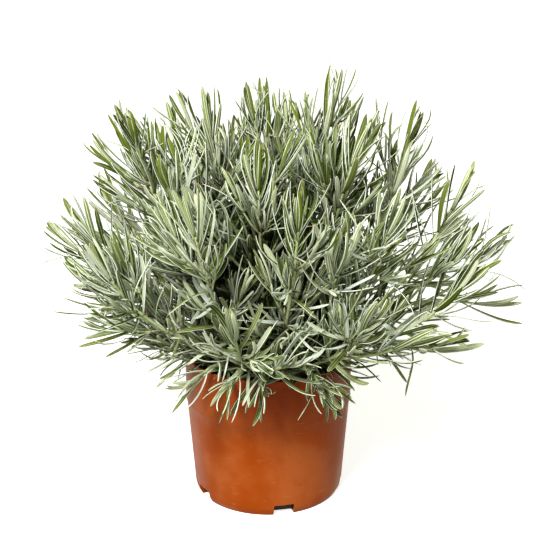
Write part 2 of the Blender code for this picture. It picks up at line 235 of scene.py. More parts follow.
def leaf_frame(direction, turn):
    """The side of a stem that a leaf grows from, at this turn about the stem's direction."""
    reference = Vector((0, 1, 0)) if abs(direction.x) > abs(direction.y) else Vector((1, 0, 0))
    first = direction.cross(reference).normalized()
    second = direction.cross(first)
    return first * cos(turn) + second * sin(turn)


def leaf_tip(leaf):
    """The tip of a leaf's curved middle line."""
    root_spread = radians(leaf["root_spread"])
    spread = radians(leaf["tip_spread"])
    bend = spread - root_spread
    if abs(bend) < NO_BEND:
        run, rise = sin(spread), cos(spread)
    else:
        run = (cos(root_spread) - cos(spread)) / bend
        rise = (sin(spread) - sin(root_spread)) / bend
    point = leaf["root"] + (leaf["stem"] * rise + leaf["side"] * run) * leaf["length"]
    point.z -= leaf["droop"]
    return point


def planned_shoots():
    """Every shoot in order: (leafy stem's name, path, radii of the path, length that bears leaves).
    A main shoot comes before its side shoots."""
    draw = random.Random(SEED)
    shoots = []
    for tier, root_distance, root_share, tip_share, bare, stems in TIERS:
        for number, (azimuth, tip_distance, tip_height, sides) in enumerate(stems, 1):
            name = f"leafy_stem_{tier}_{number:02d}"
            main = main_path(
                azimuth, root_distance * MM, tip_distance * MM, tip_height * MM, root_share, tip_share
            )
            radii = [STEM_RADIUS, *tapered(STEM_RADIUS, TIP_RADIUS, STEM_POINTS)]
            shoots.append((name, main, radii, path_length(main) - bare * MM))
            swing = radians(draw.uniform(-SIDE_SWING, SIDE_SWING))
            around = swing + draw.choice((0, pi))
            for side in range(sides):
                path = side_path(main, around + side * pi)
                radii = tapered(FORK_RADIUS, TIP_RADIUS, SHOOT_POINTS)
                shoots.append((name, path, radii, SIDE_LEAFY_LENGTH))
    return shoots


def main_shoots(shoots):
    """The path of each leafy stem's main shoot, by the stem's name."""
    mains = {}
    for name, path, _, _ in shoots:
        mains.setdefault(name, path)
    return mains


def new_leaf(draw, scatter, **leaf):
    """The leaf, moved and scaled by a draw from each range of the scatter."""
    for key, ends in scatter.items():
        amount = draw.uniform(*ends)
        leaf[key] = leaf[key] * amount if key in SIZES else leaf[key] + amount
    return leaf


def planned_leaves(shoots):
    """The model's leaves, and for each shoot the turn of its first pair about the shoot."""
    draw = random.Random(SEED + 1)
    starts = [draw.uniform(0, pi) for _ in shoots]
    leaves = []
    for rank, (from_tip, root_spread, tip_spread, length, width, droop) in enumerate(LEAF_PAIRS):
        for (name, path, radii, leafy_length), start in zip(shoots, starts):
            if from_tip * MM > leafy_length:
                continue
            for quarter_turns in (rank, rank + 2):
                distance = (from_tip + draw.uniform(-1, 1) * rank) * MM
                root, stem, share = point_from_tip(path, distance)
                leaves.append(new_leaf(
                    draw, MODEL_SCATTER, owner=name, rank=rank, root=root, stem=stem,
                    turn=start + quarter_turns * pi / 2,
                    root_spread=root_spread, tip_spread=tip_spread,
                    length=length * MM, width=width * MM, droop=droop * MM,
                    stem_radius=TIP_RADIUS + (radii[0] - TIP_RADIUS) * share,
                ))
    return leaves, starts


def turned_leaf(leaf, way):
    """The leaf, moved one of LEAF_TURNS."""
    turn, spread = way
    moved = dict(leaf)
    moved["side"] = leaf_frame(leaf["stem"], leaf["turn"] + radians(turn))
    moved["root"] = leaf["root"] + moved["side"] * (leaf["stem_radius"] * LEAF_ROOT_OFFSET)
    moved["root_spread"] += spread * 0.5
    moved["tip_spread"] += spread
    return moved


# ---------------- the leaves that the model leaves out

TIP_FOUND = 0.1 * MM
MODEL_YOUTH = (0.75, 0.4, 0.1, 0, 0, 0)

# Pairs between the model's own, in the same terms, with the quarter turns from the first pair.
BETWEEN_PAIRS = (
    (0, 7, -4, 32, 3.2, 0, 1.5),
    (6.5, 17, 0, 45, 4.2, 0, 0.5),
    (17.5, 27, 8, 51, 4.7, 0, 2.5),
    (31, 36, 24, 52, 4.9, 1, 2.6),
    (37.5, 40, 32, 50, 4.8, 1, 3.5),
    (56, 46, 44, 49, 4.9, 2, 3.5),
    (80, 50, 52, 45, 4.7, 3, 4.5),
)

# Pairs below those, all alike: spread at the root and the tip, length, width, droop.
FIRST_LOW_PAIR = 100
LOW_PAIR_STEP = 5.5
LOW_PAIR = (54, 62, 44, 4.4, 3)
BARE_FOOT = 20 * MM
SIDE_REACH = 8 * MM
SKIPPED_PAIRS = 0.22

# How the added leaves differ from their rows. Some of them are arched and thin.
PAIR_SCATTER = (-1, 1)
NEAREST_TIP = 0.3
EXTRA_SCATTER = {
    "turn": (-0.4, 0.4), "root_spread": (-5, 5), "tip_spread": (-14, 14),
    "length": (0.78, 1.1), "width": (0.82, 1.08), "droop": (0.5, 1.6),
}
ARCHED_SCATTER = EXTRA_SCATTER | {"tip_spread": (25, 90)}
ARCHED_WIDTH = 0.5
ARCHED_CHANCE = 0.18

# Youth is 1 for the newest pair and fades over the next, in millimetres from the tip.
NEWEST_PAIR = 1
SECOND_YOUTH = 0.7
YOUTH_REACH = 22

# The skirt is sparse but for its left side, the tips at both sides are wispy, and few leaves are
# added at the lower right.
SPARSE_TIER = "skirt"
SPARSE_REACH = 9 * MM
SPARSE_SIDE = 105 * MM
BUSHY_SIDE = -90 * MM
BUSHY_REACH = 48 * MM
WISPY_BELOW = 235 * MM
FAR_LEFT = -128 * MM
LOW_RIGHT = (58 * MM, 172 * MM)
LOW_RIGHT_SKIPPED = 0.85

# Young shoots in the axils of each main stem, closer together inside the bush.
YOUNG_STEP = 17 * MM
STEP_SCATTER = (0.8, 1.25)
FORK_SCATTER = (-4, 4)
CROWDED_INSIDE = 0.3
CROWDING = 0.55
FIRST_YOUNG_SHOOT = 35 * MM
FIRST_CROWN_SHOOT = 20 * MM
CROWN_TIER = "crown"
YOUNG_LENGTH = (24 * MM, 46 * MM)
YOUNG_LEAN = (26, 44)
YOUNG_TURN = 2.4
YOUNG_POINTS = 4
YOUNG_RADII = (0.95 * MM, 0.7 * MM)
YOUNG_CURVE = 0.35
YOUNG_LEAFY = 0.8
YOUNG_LEAF_SIZE = 0.82
LEAVES_SIDEWAYS = 0.3
TURNS_ALONG = 0.5

# Shoots that fill the middle: (distance of the fork from the crown stem's tip in mm, how far from the
# axis the shoot's tip stands, as a share of its fork's distance).
HEART_SHOOTS = ((58, 0.72), (78, 0.36), (98, 0.0))
HEART_FORK_SCATTER = (-5, 5)
HEART_RISE = (34 * MM, 56 * MM)
HEART_SCATTER = 9 * MM

# A tuft is a few small leaves in a leaf's axil, the later ones longer, wider and more spread.
TUFT_CHANCE = 0.5
FIRST_TUFT = 14
TUFT_LEAN = 30
TUFT_LEAN_SCATTER = (0.6, 1.3)
TUFT_ROOT = 0.5
TUFT_LEAVES = (3, 5)
TUFT_STEP = 100
TUFT_LENGTH = (9 * MM, 26 * MM)
TUFT_WIDTH = (1.9 * MM, 3.2 * MM)
TUFT_SPREAD = (6, 26)
TUFT_TIP_SHARE = 0.6
TUFT_SCATTER = {
    "turn": (-0.3, 0.3), "root_spread": (-4, 4), "tip_spread": (-10, 14),
    "length": (0.85, 1.15),
}
TUFT_STEM_RADIUS = 0.8 * MM
TUFT_YOUTH = 0.45


def settled_leaves(leaves, nodes):
    """The model's leaves the way the model holds them: the way whose tip is a corner of its node."""
    trees = {}
    for name in {leaf["owner"] for leaf in leaves}:
        corners = nodes[name].data.vertices
        tree = KDTree(len(corners))
        for index, corner in enumerate(corners):
            tree.insert(corner.co, index)
        tree.balance()
        trees[name] = tree
    settled = []
    for leaf in leaves:
        for way in LEAF_TURNS:
            moved = turned_leaf(leaf, way)
            if trees[leaf["owner"]].find(leaf_tip(moved))[2] < TIP_FOUND:
                moved["from_tip"] = LEAF_PAIRS[leaf["rank"]][0]
                moved["youth"] = MODEL_YOUTH[leaf["rank"]]
                settled.append(moved)
                break
    return settled


def low_pairs(reach):
    """Pairs below the rest, down to this distance from the tip in millimetres."""
    rows = []
    from_tip = FIRST_LOW_PAIR
    while from_tip < reach:
        rows.append((from_tip, *LOW_PAIR, from_tip / LOW_PAIR_STEP))
        from_tip += LOW_PAIR_STEP
    return rows


def pairs_on_shoot(name, path, radii, reach, start, size, draw, rows):
    """The leaves of a shoot that the model doesn't hold."""
    leaves = []
    for row in (*rows, *low_pairs(reach / MM)):
        from_tip, root_spread, tip_spread, length, width, droop, quarter_turns = row
        if from_tip * MM > reach or draw.random() < SKIPPED_PAIRS:
            continue
        for opposite in (0, 2):
            distance = max(from_tip + draw.uniform(*PAIR_SCATTER), NEAREST_TIP)
            root, stem, share = point_from_tip(path, distance * MM)
            low_right = root.x > LOW_RIGHT[0] and root.z < LOW_RIGHT[1]
            if low_right and draw.random() < LOW_RIGHT_SKIPPED:
                continue
            arched = draw.random() < ARCHED_CHANCE
            later_youth = max(0.0, SECOND_YOUTH - from_tip / YOUTH_REACH)
            leaf = new_leaf(
                draw, ARCHED_SCATTER if arched else EXTRA_SCATTER,
                owner=name, from_tip=from_tip, root=root, stem=stem,
                turn=start + (quarter_turns + opposite) * pi / 2,
                root_spread=root_spread, tip_spread=tip_spread,
                length=length * MM * size, width=width * MM * size, droop=droop * MM,
                stem_radius=radii[-1] + (radii[0] - radii[-1]) * share,
                youth=1.0 if from_tip < NEWEST_PAIR else later_youth,
            )
            leaf["width"] *= ARCHED_WIDTH if arched else 1
            leaves.append(turned_leaf(leaf, (0, 0)))
    return leaves


def short_shoot(name, fork, tip, leaving, arriving, length):
    """A young shoot that leaves its fork and arrives at its tip in these directions."""
    leave = fork + leaving.normalized() * (length * YOUNG_CURVE)
    arrive = tip - arriving.normalized() * (length * YOUNG_CURVE)
    path = bezier(fork, leave, arrive, tip, YOUNG_POINTS)
    return name, path, tapered(*YOUNG_RADII, YOUNG_POINTS)


def young_shoots(mains):
    """Short shoots in the axils of the main stems: (leafy stem's name, path, radii)."""
    draw = random.Random(SEED + 6)
    young = []
    for name, path in mains.items():
        if SPARSE_TIER in name and path[-1].x > BUSHY_SIDE:
            continue
        turn = draw.uniform(0, 2 * pi)
        distance = FIRST_CROWN_SHOOT if CROWN_TIER in name else FIRST_YOUNG_SHOOT
        while distance < path_length(path) - BARE_FOOT:
            scatter = draw.uniform(*FORK_SCATTER) * MM
            fork, stem, _ = point_from_tip(path, distance + scatter)
            crowded = inner_share(fork) > CROWDED_INSIDE
            step = YOUNG_STEP * draw.uniform(*STEP_SCATTER)
            distance += step * (CROWDING if crowded else 1)
            turn += YOUNG_TURN
            wispy_right = fork.x > SPARSE_SIDE and fork.z < WISPY_BELOW
            if wispy_right or fork.x < FAR_LEFT:
                continue
            side = leaf_frame(stem, turn)
            lean = radians(draw.uniform(*YOUNG_LEAN))
            length = draw.uniform(*YOUNG_LENGTH)
            heading = stem * cos(lean) + side * sin(lean)
            tip = fork + heading * length
            leaving, arriving = heading + side * LEAVES_SIDEWAYS, heading + stem * TURNS_ALONG
            young.append(short_shoot(name, fork, tip, leaving, arriving, length))
    return young


def heart_shoots(mains):
    """Shoots from the crown's stems in towards the middle of the bush, in the same terms."""
    draw = random.Random(SEED + 7)
    heart = []
    for name, path in mains.items():
        if CROWN_TIER not in name:
            continue
        for from_tip, share in HEART_SHOOTS:
            distance = (from_tip + draw.uniform(*HEART_FORK_SCATTER)) * MM
            fork, stem, _ = point_from_tip(path, distance)
            tip = Vector((fork.x * share, fork.y * share, fork.z + draw.uniform(*HEART_RISE)))
            tip.x += draw.uniform(-1, 1) * HEART_SCATTER
            tip.y += draw.uniform(-1, 1) * HEART_SCATTER
            length = (tip - fork).length
            heading = (tip - fork).normalized()
            heart.append(short_shoot(name, fork, tip, stem + heading, heading + UP, length))
    return heart


def extra_leaves(shoots, starts, mains, young):
    """The leaves between the model's own, and those of the young shoots."""
    draw = random.Random(SEED + 2)
    leaves = []
    for (name, path, radii, leafy_length), start in zip(shoots, starts):
        if SPARSE_TIER in name:
            reach = BUSHY_REACH if path[-1].x < BUSHY_SIDE else SPARSE_REACH
        elif path is mains[name]:
            reach = path_length(path) - BARE_FOOT
        else:
            reach = leafy_length + SIDE_REACH
        leaves += pairs_on_shoot(name, path, radii, reach, start, 1.0, draw, BETWEEN_PAIRS)
    rows = [(*row, float(rank)) for rank, row in enumerate(LEAF_PAIRS)] + list(BETWEEN_PAIRS)
    for name, path, radii in young:
        reach = path_length(path) * YOUNG_LEAFY
        start = draw.uniform(0, pi)
        leaves += pairs_on_shoot(name, path, radii, reach, start, YOUNG_LEAF_SIZE, draw, rows)
    return leaves


def axil_tufts(leaves):
    """Little leaves in the axils of these leaves."""
    draw = random.Random(SEED + 3)
    tufts = []
    for leaf in leaves:
        if leaf["from_tip"] < FIRST_TUFT or draw.random() > TUFT_CHANCE:
            continue
        if SPARSE_TIER in leaf["owner"] or leaf["root"].x > SPARSE_SIDE:
            continue
        lean = radians(TUFT_LEAN * draw.uniform(*TUFT_LEAN_SCATTER))
        middle = leaf["stem"] * cos(lean) + leaf["side"] * sin(lean)
        root = leaf["root"] + leaf["side"] * (leaf["stem_radius"] * TUFT_ROOT)
        start = draw.uniform(0, pi)
        count = draw.randint(*TUFT_LEAVES)
        for number in range(count):
            grown = (number + 0.5) / count
            length, width, spread = (
                least + (most - least) * grown
                for least, most in (TUFT_LENGTH, TUFT_WIDTH, TUFT_SPREAD)
            )
            leaf_in_tuft = new_leaf(
                draw, TUFT_SCATTER, owner=leaf["owner"], root=root, stem=middle,
                turn=start + number * radians(TUFT_STEP),
                root_spread=spread, tip_spread=spread * TUFT_TIP_SHARE,
                length=length, width=width,
                stem_radius=TUFT_STEM_RADIUS, youth=TUFT_YOUTH, small=True,
            )
            tufts.append(turned_leaf(leaf_in_tuft, (0, 0)))
    return tufts


# ---------------- fine blades and stems

LEAF_THICKNESS = 0.95 * MM

# A blade's section, in half widths across and thicknesses up, once round from its left edge. The
# midrib is a groove above and a ridge below, and the edges roll down over the underside.
BLADE_SECTION = np.array((
    (-1.0, -0.42), (-0.78, 0.04), (-0.3, 0.08), (0.0, -0.14), (0.3, 0.08), (0.78, 0.04),
    (1.0, -0.42), (0.7, -0.84), (0.0, -0.92), (-0.7, -0.84),
))
BLADE_UPPER = np.array((0.5, 1, 1, 1, 1, 1, 0.5, 0, 0, 0))
SMALL_SECTION = BLADE_SECTION[[0, 2, 4, 6, 7, 9]]
SMALL_UPPER = BLADE_UPPER[[0, 2, 4, 6, 7, 9]]
BLADE_STATIONS = np.array((-0.03, 0.08, 0.24, 0.42, 0.6, 0.76, 0.88, 0.95, 0.988))
SMALL_STATIONS = np.array((-0.03, 0.15, 0.45, 0.72, 0.9, 0.98))
BASE_WIDTH = 0.55
BASE_FROM = -0.05
FULL_FROM = 0.4
TIP_FROM = 0.72
BLADE_TAPER, BLADE_BLUNTNESS = 2.6, 0.6
THIN_TIP = 0.35
TIP_SINKS = 0.4
CURL_FROM = 0.5
COMES_LATE = 1.5
STEM_SIDES = 8
STEM_SMOOTHING = 4
STEM_ROUNDING = 0.25
STEM_CORNERS = 0.1
STEM_SLIMNESS = 0.88
STEM_END_SIZE, STEM_END_LENGTH = 0.7, 0.6

# What the materials read at a tip, in the UV map the bare edge round each cell, and within it the
# little disc of a closed foot.
TIP_VALUES = (1.0, 0.6, 0.6)
CELL_MARGIN = 0.04
FOOT_PLACE, FOOT_SIZE = 0.03, 0.02


def smooth_step(value, low, high):
    t = np.clip((value - low) / (high - low), 0, 1)
    return t * t * (3 - 2 * t)


def unit_rows(vectors):
    return vectors / np.linalg.norm(vectors, axis=1)[:, None]


def blade_width(share):
    """A blade's width along its length, as a share of its full width: narrow at the root, widest past
    its middle and blunt at the tip."""
    body = BASE_WIDTH + (1 - BASE_WIDTH) * smooth_step(share, BASE_FROM, FULL_FROM)
    past = np.clip((share - TIP_FROM) / (1 - TIP_FROM), 0, 1)
    return body * (1 - past**BLADE_TAPER) ** BLADE_BLUNTNESS


def blade_rings(leaf, stations, section):
    """The blade's sections as an array (station, place round the section, xyz), and its tip."""
    stem, side = np.array(leaf["stem"]), np.array(leaf["side"])
    across = np.cross(stem, side)
    across /= np.linalg.norm(across)
    share = np.append(stations, 1.0)
    grown = np.clip(share, 0, 1)
    root_spread = radians(leaf["root_spread"])
    bend = radians(leaf["tip_spread"]) - root_spread
    curl = np.clip((share - CURL_FROM) / (1 - CURL_FROM), 0, 1) ** COMES_LATE
    spread = root_spread + bend * share - leaf["hook"] * curl
    along = np.cos(spread)[:, None] * stem + np.sin(spread)[:, None] * side
    along[:, 2] += leaf["lift"] * grown
    along = unit_rows(along + (2 * leaf["sickle"] * grown)[:, None] * across)
    steps = np.diff(share, prepend=0)
    middle = (along + np.roll(along, 1, axis=0)) / 2
    middle[0] = along[0]
    centre = np.array(leaf["root"]) + np.cumsum(middle * steps[:, None], axis=0) * leaf["length"]
    across = unit_rows(across - (along @ across)[:, None] * along)
    upper = np.cross(along, across)
    twist = leaf["twist"] * grown**COMES_LATE
    wide = np.cos(twist)[:, None] * across + np.sin(twist)[:, None] * upper
    high = np.cos(twist)[:, None] * upper - np.sin(twist)[:, None] * across
    width = blade_width(share)
    half = leaf["width"] * leaf["broad"] / 2 * width
    thick = LEAF_THICKNESS * leaf["thickness"] * (THIN_TIP + (1 - THIN_TIP) * width)
    x = half[:, None] * section[:, 0]
    z = thick[:, None] * section[:, 1] + leaf["fold"] * np.abs(x)
    rings = centre[:, None, :] + x[:, :, None] * wide[:, None, :] + z[:, :, None] * high[:, None, :]
    tip = centre[-1] - high[-1] * (thick[-1] * TIP_SINKS)
    return rings[:-1], tip


def tube_rings(path, radii):
    """A stem's rounded-square sections along a smoothed path, with its closing end."""
    points, sizes = [], []
    for k in range(len(path) - 1):
        before = path[max(k - 1, 0)]
        after = path[min(k + 2, len(path) - 1)]
        for step in range(STEM_SMOOTHING):
            t = step / STEM_SMOOTHING
            straight = path[k].lerp(path[k + 1], t)
            turn = (path[k] - before + path[k + 1] - after) * (0.5 * t * (1 - t))
            points.append(straight + turn * STEM_ROUNDING)
            sizes.append(radii[k] + (radii[k + 1] - radii[k]) * t)
    points.append(path[-1])
    sizes.append(radii[-1] * STEM_END_SIZE)
    centre = np.array([tuple(point) for point in points])
    along = unit_rows(np.gradient(centre, axis=0))
    across = np.empty_like(along)
    across[0] = np.cross(along[0], (0.0, 1.0, 0.0) if abs(along[0][0]) > 0.5 else (1.0, 0.0, 0.0))
    for k in range(1, len(along)):
        across[k] = across[k - 1] - along[k] * (across[k - 1] @ along[k])
    across = unit_rows(across)
    other = np.cross(along, across)
    angle = np.arange(STEM_SIDES) * 2 * pi / STEM_SIDES
    size = np.array(sizes)[:, None] * (1 + STEM_CORNERS * np.cos(4 * angle)) * STEM_SLIMNESS
    rings = (
        centre[:, None, :]
        + (size * np.cos(angle))[:, :, None] * across[:, None, :]
        + (size * np.sin(angle))[:, :, None] * other[:, None, :]
    )
    tip = centre[-1] + along[-1] * (radii[-1] * STEM_END_LENGTH)
    return rings, tip


# The bush as an ellipsoid: its middle, its half sizes, and where its outside begins and its heart ends.
HEART_OF_PLANT = np.array((0.012, 0, 0.165))
PLANT_REACH = np.array((0.15, 0.14, 0.165))
INNER_FROM, INNER_TO = 0.77, 0.3
DEEP_INSIDE = 0.75


def inner_share(points):
    """How far inside the bush a point or points are, from 0 on its outside to 1 at its heart."""
    distance = np.linalg.norm((np.array(points) - HEART_OF_PLANT) / PLANT_REACH, axis=-1)
    return 1 - smooth_step(distance, INNER_TO, INNER_FROM)


class Growth:
    """The blades and stems of one leafy stem, gathered for one mesh. Each of them has its own cell in
    the mesh's UV map, and its points carry what the materials read: "blade" (share of the length,
    distance from the midrib, upper side), "tint" (a draw, for blades scaled down at low and high
    places as painted shade, youth, another draw) and "shade_depth" (how far inside the bush, which the
    materials darken as painted shade)."""

    def __init__(self):
        self.points, self.blade, self.tint = [], [], []
        self.faces, self.slots, self.corner_places = [], [], []
        self.cells = 0
        self.count = 0

    def add(self, rings, tip, share, off_midrib, upper, tint, slot):
        """Joins the rings into one closed form, from its flat foot to its point."""
        stations, around = rings.shape[:2]
        first = self.count
        self.points.append(rings.reshape(-1, 3))
        self.points.append(tip[None, :])
        blade = np.zeros((stations * around + 1, 4), np.float32)
        blade[:-1, 0] = np.repeat(share, around)
        blade[:-1, 1] = np.tile(off_midrib, stations)
        blade[:-1, 2] = np.tile(upper, stations)
        blade[-1, :3] = TIP_VALUES
        self.blade.append(blade)
        self.tint.append(np.tile(np.array((*tint, 1.0), np.float32), (len(blade), 1)))
        self.count += stations * around + 1
        for station in range(stations):
            low, high = first + station * around, first + (station + 1) * around
            v0, v1 = station / stations, (station + 1) / stations
            for k in range(around):
                after = (k + 1) % around
                u0, u1 = k / around, (k + 1) / around
                if station < stations - 1:
                    self.faces.append((low + k, low + after, high + after, high + k))
                    self.place((u0, v0), (u1, v0), (u1, v1), (u0, v1))
                else:
                    self.faces.append((low + k, low + after, high))
                    self.place((u0, v0), (u1, v0), ((u0 + u1) / 2, v1))
        self.faces.append(tuple(range(first + around - 1, first - 1, -1)))
        angles = [-2 * pi * k / around for k in range(around)]
        disc = [(FOOT_SIZE * cos(angle), FOOT_SIZE * sin(angle)) for angle in angles]
        self.place(*((FOOT_PLACE + x, FOOT_PLACE + y) for x, y in disc))
        self.slots += [slot] * (stations * around + 1)
        self.cells += 1

    def place(self, *corners):
        self.corner_places += [(u, v, self.cells) for u, v in corners]

    def mesh(self, name):
        """One mesh of all that was added, with its attributes and its UV map."""
        mesh = bpy.data.meshes.new(name)
        points = np.concatenate(self.points)
        mesh.from_pydata(points.tolist(), [], self.faces)
        for label, values in (("blade", self.blade), ("tint", self.tint)):
            layer = mesh.color_attributes.new(label, "FLOAT_COLOR", "POINT")
            layer.data.foreach_set("color", np.concatenate(values).ravel())
        # How far inside the bush each point is, read by the materials for a painted shade.
        layer = mesh.attributes.new("shade_depth", "FLOAT", "POINT")
        layer.data.foreach_set("value", inner_share(points).astype(np.float32))
        mesh.polygons.foreach_set("material_index", self.slots)
        mesh.polygons.foreach_set("use_smooth", [True] * len(self.faces))
        places = np.array(self.corner_places)
        grid = math.ceil(math.sqrt(self.cells))
        inside = CELL_MARGIN + (1 - 2 * CELL_MARGIN) * places[:, :2]
        corner = np.stack((places[:, 2] % grid, places[:, 2] // grid), axis=1)
        layer = mesh.uv_layers.new(name="OFBake")
        layer.uv.foreach_set("vector", ((corner + inside) / grid).astype(np.float32).ravel())
        mesh.update()
        return mesh


# Leaves that grow near each other share part of their tone. Low and high ones are darker, a painted
# shade: the tone is scaled by these shares at these heights.
SHARED_TONE = 0.4
TONE_SCALE = 16
TONE_CONTRAST = 1.1
SHADE_HEIGHTS = (110 * MM, 165 * MM, 225 * MM, 290 * MM)
SHADE_SHARES = (0.9, 1.1, 1.05, 0.52)

# How blades differ from each other: the middle and width of a bell curve, or the least and most.
SICKLE = (0, 0.1)
HOOK = (0.25, 0.35)
LIFT = (0.27, 0.3)
BROAD = (0.55, 0.95)
MODEL_BROAD = (0.74, 1.0)
TWIST = (-0.55, 0.55)
YOUNG_FROM, YOUNG_TWIST = 0.5, 0.4
FOLD = (0.02, 0.16)
YOUNG_FOLD = 0.22
THICKNESS = (0.85, 1.0)
SMALL_THICKNESS = 0.7

# Leaves with their roots outside and below these hang over the rim, narrower than the rest.
RIM_OUTSIDE = 48 * MM
RIM_LEVEL = 143 * MM
RIM_LIFT = (-0.1, 0.35)
RIM_BROAD = 0.74

# The pot's wall just under its rim, which no added blade may go through.
RIM_HEIGHT = 117.8 * MM
WALL_MIDDLE = 64.2 * MM
WALL_REACH = 1.5 * MM


def goes_through_wall(rings):
    """Whether a blade passes through the pot's wall, and not over its rim."""
    outward = np.hypot(rings[..., 0], rings[..., 1]) - WALL_MIDDLE
    height = rings[..., 2]
    in_wall = (np.abs(outward) < WALL_REACH) & (height < RIM_HEIGHT)
    before, after = outward[:-1], outward[1:]
    passes = before * after < 0
    share = np.where(passes, before / np.where(passes, before - after, 1.0), 0.0)
    crossing_height = height[:-1] + (height[1:] - height[:-1]) * share
    return bool(in_wall.any() or (passes & (crossing_height < RIM_HEIGHT)).any())


def add_blade(growth, leaf, draw):
    """Adds one leaf, with the small differences that no two leaves share. The model's leaves are
    always added, and the others only where they stay clear of the pot's wall."""
    small = leaf.get("small", False)
    in_model = "rank" in leaf
    youth = leaf["youth"]
    root = leaf["root"]
    over_rim = root.z < RIM_LEVEL and math.hypot(root.x, root.y) > RIM_OUTSIDE
    leaf["sickle"] = draw.gauss(*SICKLE)
    leaf["hook"] = max(0.0, draw.gauss(*HOOK))
    leaf["lift"] = draw.gauss(*(RIM_LIFT if over_rim else LIFT))
    leaf["broad"] = draw.uniform(*(MODEL_BROAD if in_model else BROAD))
    leaf["broad"] *= RIM_BROAD if over_rim else 1.0
    leaf["twist"] = draw.uniform(*TWIST) * (YOUNG_TWIST if youth > YOUNG_FROM else 1.0)
    leaf["fold"] = draw.uniform(*FOLD) + YOUNG_FOLD * youth
    leaf["thickness"] = SMALL_THICKNESS if small else draw.uniform(*THICKNESS)
    plain = small or inner_share(root) > DEEP_INSIDE
    section, upper = (SMALL_SECTION, SMALL_UPPER) if plain else (BLADE_SECTION, BLADE_UPPER)
    stations = SMALL_STATIONS if plain else BLADE_STATIONS
    rings, tip = blade_rings(leaf, stations, section)
    shared = 0.5 + TONE_CONTRAST * noise.noise(root * TONE_SCALE)
    tone = draw.random() * (1 - SHARED_TONE) + shared * SHARED_TONE
    # Painted shade: the tone of low and high leaves is scaled down.
    tone *= np.interp(root.z, SHADE_HEIGHTS, SHADE_SHARES)
    tint = (min(max(tone, 0.0), 1.0), youth, draw.random())
    if in_model or not goes_through_wall(rings):
        growth.add(rings, tip, stations, np.abs(section[:, 0]), upper, tint, 0)


def add_stem(growth, path, radii, draw):
    rings, tip = tube_rings(path, radii)
    share = np.linspace(0, 1, len(rings))
    flat = np.zeros(STEM_SIDES)
    growth.add(rings, tip, share, flat, flat, (draw.random(), 0.0, draw.random()), 1)


# ---------------- materials


class Nodes:
    """Short ways to build a material's nodes."""

    def __init__(self, name):
        self.material = bpy.data.materials.new(name)
        self.material.use_nodes = True
        self.tree = self.material.node_tree
        self.shader = self.tree.nodes["Principled BSDF"]

    def add(self, kind, inputs, **settings):
        """Adds a node with these values in its inputs and these settings, and returns its outputs."""
        node = self.tree.nodes.new(kind)
        for key, value in settings.items():
            setattr(node, key, value)
        for socket, value in inputs.items():
            self.put(value, node.inputs[socket])
        return node.outputs

    def put(self, value, socket):
        """Links a node's output to a socket, or sets the socket to a number or a colour."""
        if isinstance(value, bpy.types.NodeSocket):
            self.tree.links.new(value, socket)
        elif socket.type == "RGBA":
            socket.default_value = (*value, 1)
        else:
            socket.default_value = value

    def maths(self, operation, first, second):
        return self.add("ShaderNodeMath", {0: first, 1: second}, operation=operation)[0]

    def times(self, first, second):
        return self.maths("MULTIPLY", first, second)

    def ramp(self, value, low, high, to_low=0, to_high=1):
        """A smooth change from to_low to to_high as value goes from low to high."""
        inputs = dict(enumerate((value, low, high, to_low, to_high)))
        return self.add("ShaderNodeMapRange", inputs, interpolation_type="SMOOTHSTEP")[0]

    def mix(self, share, first, second, blend="MIX"):
        inputs = {0: share, 6: first, 7: second}
        return self.add("ShaderNodeMix", inputs, data_type="RGBA", blend_type=blend)[2]

    def number(self, attribute):
        return self.add("ShaderNodeAttribute", {}, attribute_name=attribute)["Fac"]

    def parts(self, attribute):
        """The red, green and blue of a colour attribute."""
        colour = self.add("ShaderNodeAttribute", {}, attribute_name=attribute)["Color"]
        return self.add("ShaderNodeSeparateColor", {0: colour})

    def where(self):
        """The place in the piece's own frame, in metres."""
        return self.add("ShaderNodeTexCoord", {})["Object"]

    def place(self):
        """The three coordinates of where()."""
        return self.add("ShaderNodeSeparateXYZ", {0: self.where()})

    def noise(self, scale, detail, roughness=0.5, stretch=None):
        """A noise in the piece's own frame, per metre."""
        where = self.where()
        if stretch:
            where = self.add("ShaderNodeMapping", {"Vector": where, "Scale": stretch})["Vector"]
        inputs = {"Vector": where, "Scale": scale, "Detail": detail, "Roughness": roughness}
        return self.add("ShaderNodeTexNoise", inputs)[0]

    def bump(self, height, distance, strength):
        inputs = {"Strength": strength, "Distance": distance, "Height": height}
        self.put(self.add("ShaderNodeBump", inputs)[0], self.shader.inputs["Normal"])

    def finish(self, colour, roughness, **fixed):
        """The finished material, with these fixed values on the shader's own sockets."""
        self.put(colour, self.shader.inputs["Base Color"])
        self.put(roughness, self.shader.inputs["Roughness"])
        for name, value in fixed.items():
            self.put(value, self.shader.inputs[name.replace("_", " ")])
        return self.material


OLIVE = (0.07, 0.1, 0.011)
DEEP_OLIVE = (0.032, 0.052, 0.001)
MOSS = (0.145, 0.18, 0.03)
SILVER = (0.48, 0.515, 0.375)
HOARY = (0.7, 0.735, 0.665)
FROST = (0.58, 0.63, 0.58)
UNDERSIDE = (0.6, 0.635, 0.475)
YOUNG = (0.205, 0.25, 0.035)
OLD_TIP = (0.45, 0.27, 0.17)
# Painted shade for the heart of the bush: nearly black.
INNER_SHADE = (0.018, 0.028, 0.0005)
# The upper face, from green to white as a leaf's own draw rises between these shares.
TONES = ((0.38, 0.6, MOSS), (0.56, 0.82, SILVER), (0.74, 0.92, FROST))

